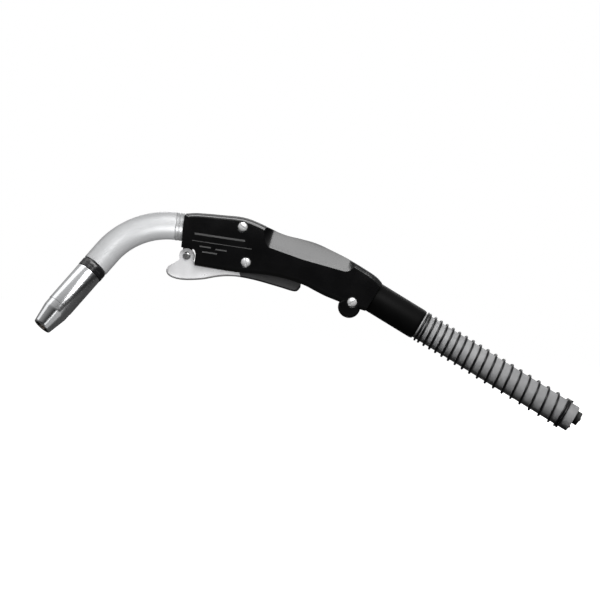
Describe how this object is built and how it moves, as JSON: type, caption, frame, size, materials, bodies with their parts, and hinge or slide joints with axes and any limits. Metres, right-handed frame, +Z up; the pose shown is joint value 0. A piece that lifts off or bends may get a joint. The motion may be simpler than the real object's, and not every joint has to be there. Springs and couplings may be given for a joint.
{
  "type": "mig welding torch",
  "caption": "Hand-held MIG welding torch with bent neck and nozzle, lever-trigger handle, and a spring strain relief on the first stretch of its power cable.",
  "frame": {"origin": "middle of the grip, where the palm holds the handle", "axes": "+X from the nozzle end towards the cable, parallel to the neck's socket; +Z up, the trigger below; -Y is the torch's left side"},
  "size_m": [0.4423, 0.0526, 0.1406],
  "materials": {
    "jacket_aluminium": "satin, pale grey",
    "collar_steel": "brushed",
    "sleeve_plastic": "matt",
    "copper": "bare copper, bright",
    "liner_steel": "bright wire",
    "insulator": "matt black moulded insulator",
    "brass": "turned",
    "nozzle_chrome": "polished plating",
    "handle_black": "glossy black",
    "screw_steel": "bright nickel",
    "set_screw_black": "black oxide",
    "lever_steel": "bright plated",
    "switch_black": "moulded",
    "switch_cover": "moulded",
    "plunger_white": "moulded",
    "spring_steel": "spring wire",
    "lead_red": "insulated lead",
    "conduit": "translucent tube",
    "core_rubber": "black insulation",
    "filler": "fibre filler",
    "jacket_rubber": "grey cable jacket",
    "sleeve_rubber": "smooth black rubber",
    "spring_black": "black coated wire"
  },
  "bodies": {
    "handle": {"handle_left": "handle_black", "handle_right": "handle_black", "handle_screws": "screw_steel", "handle_nuts": "screw_steel", "connector_block": "brass", "neck_clamp_screw": "set_screw_black", "cable_terminal": "brass", "crimp_sleeve": "copper", "trigger_pin": "screw_steel", "switch_housing": "switch_black", "switch_cover": "switch_cover", "plunger_spring": "spring_steel", "switch_contacts": "brass", "lead_terminals": "brass", "control_leads": "lead_red", "cable_liner": "liner_steel", "gas_conduit": "conduit", "copper_strands": "copper", "core_insulation": "core_rubber", "cable_jacket": "jacket_rubber", "cable_filler": "filler", "strain_relief_sleeve": "sleeve_rubber", "strain_relief_spring": "spring_black"},
    "neck": {"neck_armour": "jacket_aluminium", "neck_collar": "collar_steel", "neck_insulation": "sleeve_plastic", "conductor_tube": "copper", "neck_liner": "liner_steel", "nozzle_insulator": "insulator", "gas_diffuser": "brass", "contact_tip": "copper"},
    "nozzle": {"nozzle": "nozzle_chrome"},
    "trigger": {"trigger_lever": "lever_steel"},
    "plunger": {"switch_plunger": "plunger_white"}
  },
  "joints": [
    {"name": "neck_turn", "type": "hinge", "parent": "handle", "child": "neck", "pos_m": [-0.09, 0, 0.017], "axis": [1, 0, 0], "range_deg": [-73, 107]},
    {"name": "nozzle_pull", "type": "slide", "parent": "neck", "child": "nozzle", "axis": [-0.5446, -0.2452, -0.802], "range_m": [0, 0.012]},
    {"name": "trigger_pull", "type": "hinge", "parent": "handle", "child": "trigger", "pos_m": [-0.085, 0, -0.0057], "axis": [0, -1, 0], "range_deg": [0, 3.5], "stiffness_Nm_per_rad": 2, "springref_deg": -8.59},
    {"name": "plunger_slide", "type": "slide", "parent": "handle", "child": "plunger", "axis": [0, 0, 1], "range_m": [0, 0.0024], "deforming": ["plunger_spring"]}
  ],
  "couplings": [
    {"joint": "plunger_slide", "follows": "trigger_pull", "m_per_rad": 0.035}
  ]
}
